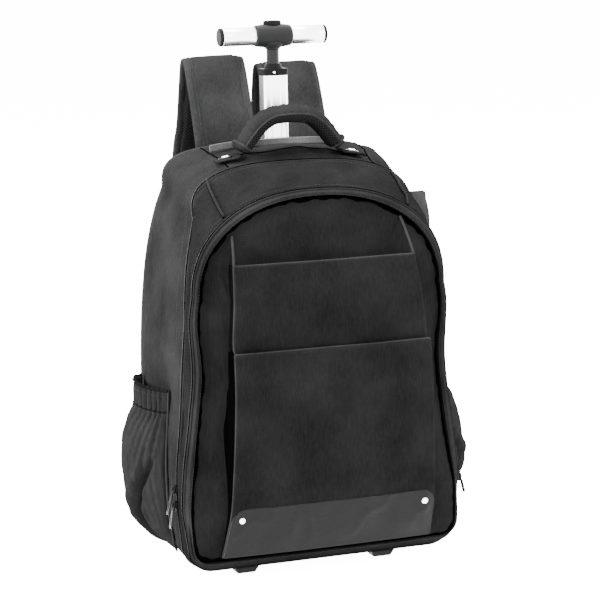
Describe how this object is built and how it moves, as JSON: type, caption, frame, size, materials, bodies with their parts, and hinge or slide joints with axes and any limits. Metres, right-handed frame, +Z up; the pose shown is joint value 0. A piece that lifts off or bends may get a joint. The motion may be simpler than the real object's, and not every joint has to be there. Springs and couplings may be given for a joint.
{
  "type": "wheeled backpack",
  "caption": "Black cloth backpack with padded straps, slot pockets, gathered side pockets, wheels and a telescopic pole with a T-shaped handle.",
  "frame": {"origin": "on the floor, under the middle of the bag's width and depth", "axes": "+X to the bag's right as its face is looked at, +Y from the face to the shoulder straps, +Z up along the trolley pole"},
  "size_m": [0.3758, 0.2938, 0.5723],
  "materials": {
    "body_cloth": "charcoal woven polyester, matt",
    "face_cloth": "charcoal woven polyester, matt, finer weave",
    "strap_cloth": "padded charcoal polyester with bound edges",
    "back_mesh": "black air mesh over padding",
    "zip_tape": "black coil zipper and tape",
    "webbing": "black woven webbing",
    "grey_trim": "light grey bonded cloth",
    "leatherette": "dark grey leatherette, fine grain",
    "chrome_trim": "bright chrome",
    "dark_metal": "black painted metal, glossy",
    "black_plastic": "black moulded plastic",
    "grey_plastic": "dark grey moulded plastic, satin",
    "bright_aluminium": "bright anodised aluminium, satin",
    "foot_rubber": "dark grey rubber",
    "wheel_rubber": "black rubber"
  },
  "bodies": {
    "root": {"main_shell": "body_cloth", "partition": "body_cloth", "front_gusset": "body_cloth", "side_pocket_left": "body_cloth", "side_pocket_right": "body_cloth", "front_face": "face_cloth", "lower_pocket": "face_cloth", "upper_pocket": "face_cloth", "grab_handle": "strap_cloth", "shoulder_strap_left": "strap_cloth", "shoulder_strap_right": "strap_cloth", "back_panel": "back_mesh", "main_zip": "zip_tape", "front_zip": "zip_tape", "handle_anchor_left": "webbing", "handle_anchor_right": "webbing", "strap_webbing_left": "webbing", "strap_webbing_right": "webbing", "top_lip": "grey_trim", "side_tab": "grey_trim", "leather_guard": "leatherette", "rivet_left": "chrome_trim", "rivet_right": "chrome_trim", "anchor_bar_left": "chrome_trim", "anchor_bar_right": "chrome_trim", "slider_right_upper": "chrome_trim", "slider_right_lower": "chrome_trim", "axle_left": "chrome_trim", "axle_right": "chrome_trim", "slider_left_upper": "dark_metal", "slider_left_lower": "dark_metal", "slider_front": "dark_metal", "strap_buckle_left": "black_plastic", "strap_buckle_right": "black_plastic", "base_plate": "black_plastic", "wheel_housing_left": "black_plastic", "wheel_housing_right": "black_plastic", "guide_tube": "black_plastic", "foot_left": "foot_rubber", "foot_right": "foot_rubber"},
    "pole": {"pole_tube": "bright_aluminium", "pole_collar": "grey_plastic"},
    "grip": {"neck_tube": "grey_plastic", "hub": "grey_plastic", "grip_left": "bright_aluminium", "grip_right": "bright_aluminium", "grip_cap_left": "grey_plastic", "grip_cap_right": "grey_plastic"},
    "button": {"push_button": "grey_plastic"},
    "wheel_left": {"tyre_left": "wheel_rubber", "wheel_hub_left": "black_plastic"},
    "wheel_right": {"tyre_right": "wheel_rubber", "wheel_hub_right": "black_plastic"}
  },
  "joints": [
    {"name": "pole_slide", "type": "slide", "parent": "root", "child": "pole", "axis": [0, 0, 1], "range_m": [-0.065, 0.25]},
    {"name": "grip_slide", "type": "slide", "parent": "pole", "child": "grip", "axis": [0, 0, 1], "range_m": [-0.012, 0.27]},
    {"name": "button_press", "type": "slide", "parent": "grip", "child": "button", "axis": [0, 0, -1], "range_m": [0, 0.003], "stiffness_N_per_m": 600, "springref_m": -0.001},
    {"name": "wheel_left_spin", "type": "hinge", "parent": "root", "child": "wheel_left", "pos_m": [-0.105, 0.0351, 0.03], "axis": [1, 0, 0], "continuous": true},
    {"name": "wheel_right_spin", "type": "hinge", "parent": "root", "child": "wheel_right", "pos_m": [0.105, 0.0351, 0.03], "axis": [1, 0, 0], "continuous": true}
  ]
}
